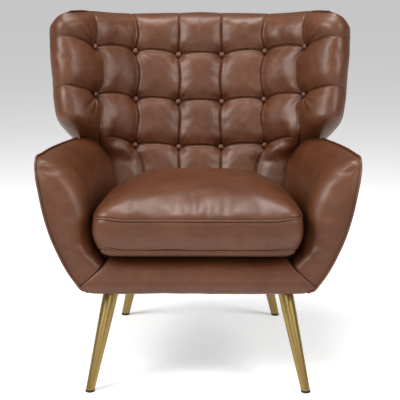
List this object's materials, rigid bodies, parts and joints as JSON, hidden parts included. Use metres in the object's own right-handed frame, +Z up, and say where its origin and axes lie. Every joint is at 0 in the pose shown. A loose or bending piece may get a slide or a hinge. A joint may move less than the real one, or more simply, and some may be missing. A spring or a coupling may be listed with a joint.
{
  "type": "upholstered armchair",
  "caption": "Wing armchair with a buttoned back, flared padded arms, a loose box cushion, a rounded front rail and splayed tapered metal legs.",
  "frame": {"origin": "on the floor plane, under the middle of the chair's bounding box", "axes": "+X to the sitter's left, -Y towards the front of the chair, +Z up"},
  "size_m": [0.843, 0.7735, 0.9556],
  "materials": {
    "leather": "semi-gloss brown pull-up leather, fine grain",
    "leather_piping": "the same leather, wrapped over cord",
    "button_leather": "the same leather, drawn over button shells",
    "leg_metal": "satin brushed brass plating",
    "glide_plastic": "black moulded glide",
    "frame_wood": "planed hardwood",
    "spring_steel": "drawn spring wire",
    "deck_cloth": "dark platform cloth over wadding",
    "dust_cloth": "black non-woven cloth",
    "cushion_filling": "wrapped foam filling",
    "zip_tape": "brown woven zip tape with moulded teeth",
    "zip_metal": "antique metal slider"
  },
  "bodies": {
    "chair": {"corner_block_front_left": "frame_wood", "corner_block_front_right": "frame_wood", "corner_block_rear_left": "frame_wood", "corner_block_rear_right": "frame_wood", "seat_rail_side_left": "frame_wood", "seat_rail_side_right": "frame_wood", "arm_frame_left": "frame_wood", "arm_frame_right": "frame_wood", "back_post_left": "frame_wood", "back_post_right": "frame_wood", "leg_front_left": "leg_metal", "leg_front_right": "leg_metal", "leg_rear_left": "leg_metal", "leg_rear_right": "leg_metal", "glide_front_left": "glide_plastic", "glide_front_right": "glide_plastic", "glide_rear_left": "glide_plastic", "glide_rear_right": "glide_plastic", "arm_pad_left": "leather", "arm_pad_right": "leather", "arm_outer_panel_left": "leather", "arm_outer_panel_right": "leather", "arm_welt_left": "leather_piping", "arm_welt_right": "leather_piping", "seat_rail_front": "frame_wood", "seat_rail_rear": "frame_wood", "back_top_rail": "frame_wood", "back_lower_rail": "frame_wood", "front_rail_pad": "leather", "back_pad": "leather", "back_outer_panel": "leather", "spring_1": "spring_steel", "spring_2": "spring_steel", "spring_3": "spring_steel", "spring_4": "spring_steel", "seat_deck_pad": "deck_cloth", "dust_cover": "dust_cloth", "button_1_1": "button_leather", "button_1_2": "button_leather", "button_1_3": "button_leather", "button_1_4": "button_leather", "button_1_5": "button_leather", "button_1_6": "button_leather", "button_2_1": "button_leather", "button_2_2": "button_leather", "button_2_3": "button_leather", "button_2_4": "button_leather", "button_2_5": "button_leather", "button_2_6": "button_leather", "button_3_2": "button_leather", "button_3_3": "button_leather", "button_3_4": "button_leather", "button_3_5": "button_leather"},
    "cushion": {"cushion_cover": "leather", "cushion_core": "cushion_filling", "cushion_welt_top": "leather_piping", "cushion_welt_bottom": "leather_piping", "zip_chain": "zip_tape"},
    "zip_slider": {"zip_slider": "zip_metal"}
  },
  "joints": [
    {"name": "cushion_lift", "type": "slide", "parent": "chair", "child": "cushion", "axis": [0, -0.5, 0.866], "range_m": [0, 0.6]},
    {"name": "zip_slide", "type": "slide", "parent": "cushion", "child": "zip_slider", "axis": [-1, 0, 0], "range_m": [0, 0.26]}
  ]
}
